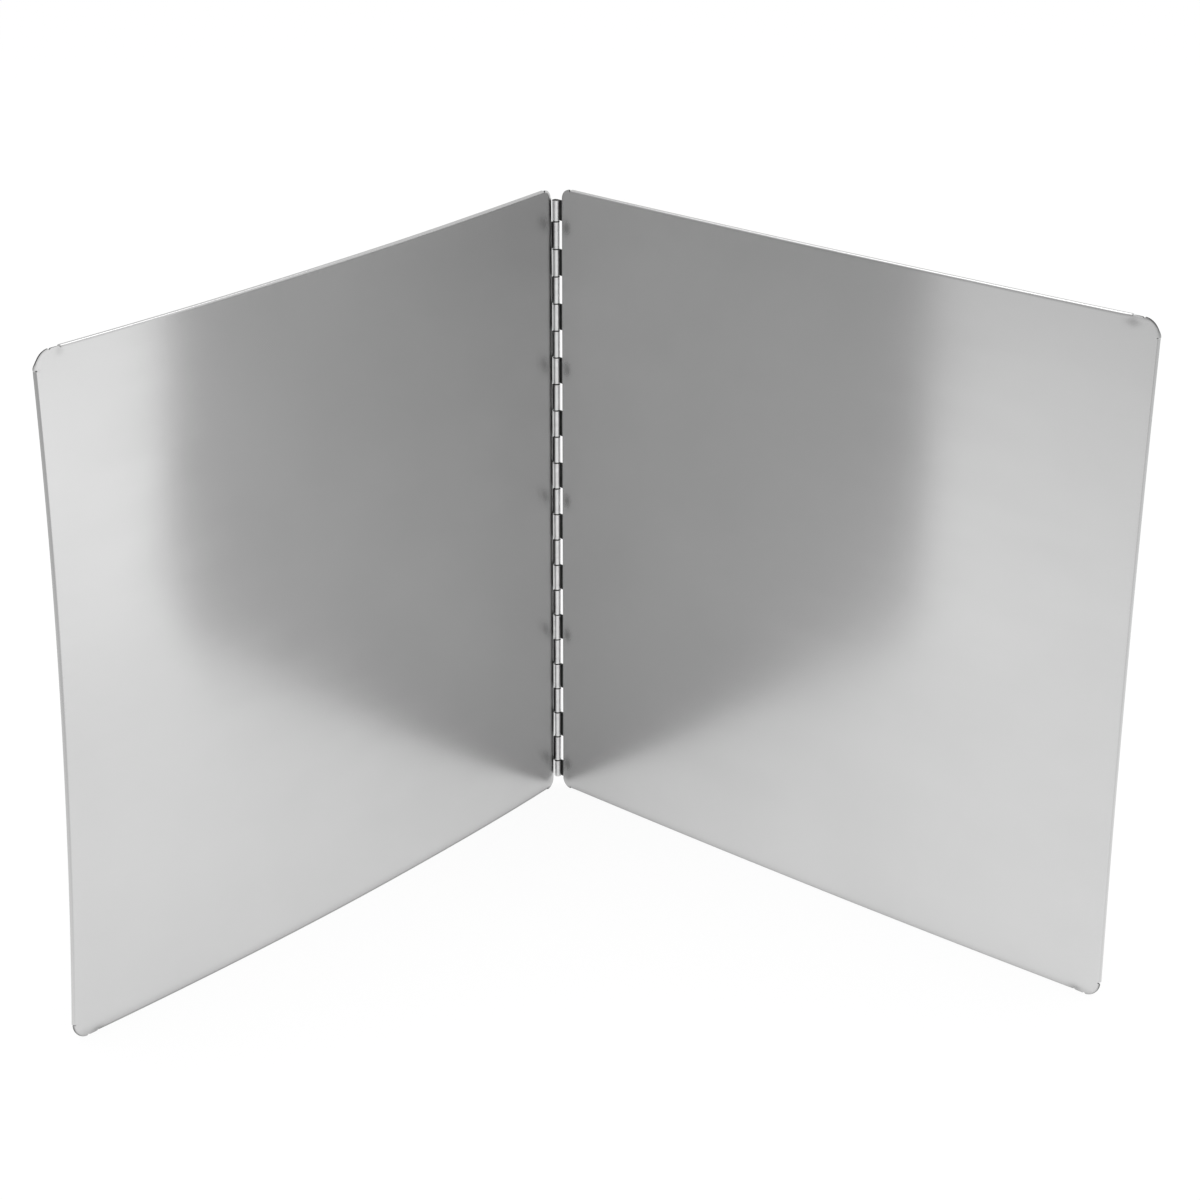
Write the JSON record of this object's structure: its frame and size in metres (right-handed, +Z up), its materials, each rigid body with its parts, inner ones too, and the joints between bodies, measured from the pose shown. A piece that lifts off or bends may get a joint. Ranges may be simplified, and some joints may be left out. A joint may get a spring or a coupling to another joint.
{
  "type": "folding splash guard",
  "caption": "Folding splash guard of satin stainless sheet: two hemmed panels with rounded corners on a continuous hinge, standing open as a corner screen round a stove or pan.",
  "frame": {"origin": "the middle of the guard's footprint, on the surface it stands on", "axes": "+X runs from the left panel to the right one as seen from the open side, +Y from the open side to the hinge, +Z up along the hinge"},
  "size_m": [0.4294, 0.2273, 0.295],
  "materials": {
    "satin_sheet": "satin stainless sheet with a fine level grain",
    "rolled_hinge_stock": "bright rolled stainless strip",
    "drawn_wire": "drawn stainless wire"
  },
  "bodies": {
    "right_side": {"right_panel": "satin_sheet", "right_hinge_leaf": "rolled_hinge_stock", "hinge_pin": "drawn_wire"},
    "left_side": {"left_panel": "satin_sheet", "left_hinge_leaf": "rolled_hinge_stock"}
  },
  "joints": [
    {"name": "fold", "type": "hinge", "parent": "right_side", "child": "left_side", "pos_m": [0.00517, 0.11401, 0], "axis": [0, 0, -1], "range_deg": [-80, 220]}
  ]
}
